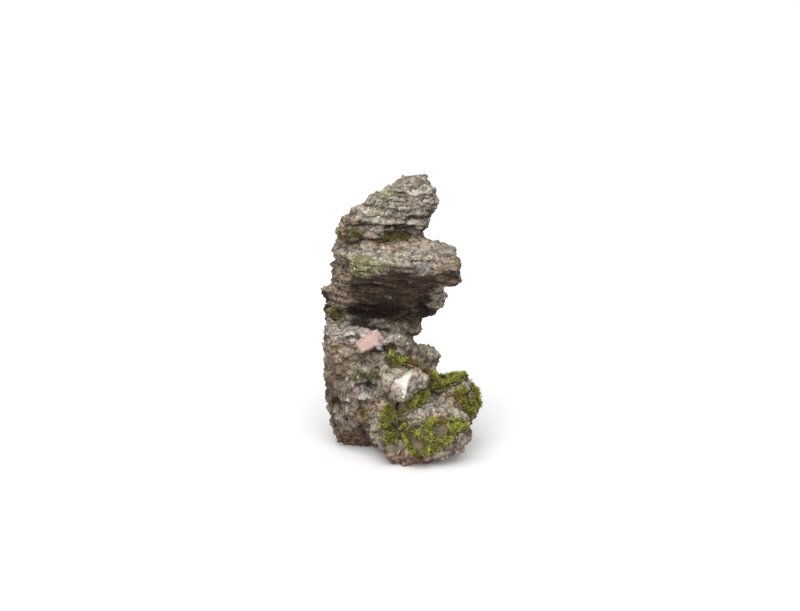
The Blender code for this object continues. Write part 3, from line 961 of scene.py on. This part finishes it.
# the moss's finish: scales are per metre
mossFinish = {
    "mottle": {"Scale": 700.0, "Detail": 3.0},
    "shade": (0.6, 0.8),
    "bump": {"Strength": 0.4, "Distance": 0.0004},
    "roughness": 0.6,
}


# moss: the painted colour with a little mottling
def mossMaterial():
    material, wire, shader = startMaterial("moss")
    spot = wire.node("TexCoord", {}, {}, output=3)
    colour = wire.node("Attribute", {"attribute_name": tintLayer}, {})
    mottle = wire.node("TexNoise", {}, {"Vector": spot, **mossFinish["mottle"]})
    shade = mossFinish["shade"][0] + mottle * mossFinish["shade"][1]
    grey = wire.node("CombineColor", {}, {0: shade, 1: shade, 2: shade})
    colour = wire.blend(1.0, colour, grey, "MULTIPLY")
    wire.tree.links.new(colour.socket, shader.inputs["Base Color"])
    bump = wire.node("Bump", {}, {**mossFinish["bump"], "Height": mottle})
    wire.tree.links.new(bump.socket, shader.inputs["Normal"])
    shader.inputs["Roughness"].default_value = mossFinish["roughness"]
    return material


# true where a place's outward direction leads away from the stone
def facesAway(places, outward):
    reach = moss["probe"] * outward
    return stoneNear.at(places - reach) > stoneNear.at(places + reach)


# a cushion's bed: its CAD solid with the upper side lowered and the under side pushed into the stone
def cushionBed(outer, outward):
    lowered = weighed(moss["bedDepth"], noise(outer, *moss["bedNoise"]))
    sunk = np.where(facesAway(outer, outward), lowered, moss["bedFoot"])
    share = weighed(moss["bedMix"], noise(outer, *moss["bedMixNoise"]))
    tint = mixed(linear(stone["middle"]), linear(moss["brown"]), share)
    shade = weighed(moss["bedShade"], noise(outer, *moss["bedShadeNoise"]))
    return outer - outward * sunk[:, None], tint * shade[:, None]


# a cushion: its bed, and shoots over it that reach about the solid's surface, fewer where the moss is thin
def makeCushion(node, mesh, draw):
    outer, outward = pointsOf(mesh)
    triangles = trianglesOf(mesh)
    a, b, c = (outer[triangles[:, corner]] for corner in range(3))
    area = np.linalg.norm(np.cross(b - a, c - a), axis=1).sum() / 2
    spots, facing, _ = scatter(outer, triangles, int(area * moss["perSquare"]), draw)
    cover = moss["cover"].get(node, moss["coverElsewhere"])
    crowd = mossNear.at(spots)
    low, high = (limit * np.median(crowd) for limit in moss["rim"])
    thin = moss["thinFrom"]
    for height, size, seed in moss["thin"]:
        thin = thin + height * noise(spots, size, seed)
    thin = thin + moss["thinRim"] * (1 - ease(low, high, crowd))
    limit = cover + moss["thinRandom"] * (draw.random(len(spots)) - 0.5)
    kept = facesAway(spots, facing) & (thin < limit)
    spots, facing = spots[kept], facing[kept]
    axes = unit(facing + moss["upright"] * up + moss["sway"] * (draw.random(spots.shape) - 0.5))
    grown = draw.random(len(spots)) * weighed(moss["shootThin"], thin[kept])
    lengths = moss["rootDepth"] * (moss["shoot"] + grown)
    roots = spots - facing * moss["rootDepth"]
    fresh = moss["fresh"].get(node, moss["freshElsewhere"])
    leafPoints, leafRows, leafColours = makeLeaves(roots, axes, lengths, fresh, draw)
    bed, bedTint = cushionBed(outer, outward)
    whole = np.concatenate([bed, leafPoints])
    rows = np.concatenate([triangles, leafRows + len(bed)])
    made = meshFrom("shoots_" + node[5:], whole, rows)
    paint(made, np.concatenate([bedTint, leafColours]))
    return made


print("stage 4: moss")
stoneNear = Nearness(points, moss["stoneCell"])
green = mossMaterial()
for index, node in enumerate(mossNodes):
    cushionMesh = makeCushion(node, padMeshes[node], np.random.default_rng(moss["seed"] + index))
    cushionMesh.materials.append(green)
    cushion = place("shoots_" + node[5:], cushionMesh)
    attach(cushion, "root")
    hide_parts(node)
    print(cushion.name, len(cushionMesh.polygons), "triangles")

# the stray shoots round the cushions: lengths in mm
stray = {
    "count": 6000,
    "seed": 400,
    "tries": 14,
    "near": (0.0, 0.14),
    "level": (-0.5, 0.2),
    "chance": 0.9,
    "patches": (0.35, 0.9),
    "patchNoise": (4.0, 220),  # size, seed
    "upright": 0.3,
    "sway": 0.6,
    "length": (0.8, 1.4),
    "rootDepth": 0.3,
    "fresh": 0.35,
}


# stray shoots: places on the stone near a cushion, thinner the farther away they are
def makeStrays(count, draw):
    spots, facing, _ = scatter(points, stoneTriangles, count * stray["tries"], draw)
    chance = ease(*stray["near"], mossNear.at(spots)) * ease(*stray["level"], facing[:, 2])
    patches = weighed(stray["patches"], noise(spots, *stray["patchNoise"]))
    kept = draw.random(len(spots)) < stray["chance"] * chance * patches
    spots, facing = spots[kept][:count], facing[kept][:count]
    axes = unit(facing + stray["upright"] * up + stray["sway"] * (draw.random(spots.shape) - 0.5))
    lengths = weighed(stray["length"], draw.random(len(spots)))
    roots = spots - stray["rootDepth"] * facing
    whole, rows, tint = makeLeaves(roots, axes, lengths, stray["fresh"], draw)
    made = meshFrom("stray_shoots", whole, rows)
    paint(made, tint)
    return made


straysMesh = makeStrays(stray["count"], np.random.default_rng(stray["seed"]))
straysMesh.materials.append(green)
strays = place("stray_shoots", straysMesh)
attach(strays, "root")
print("stray shoots", len(straysMesh.polygons), "triangles")
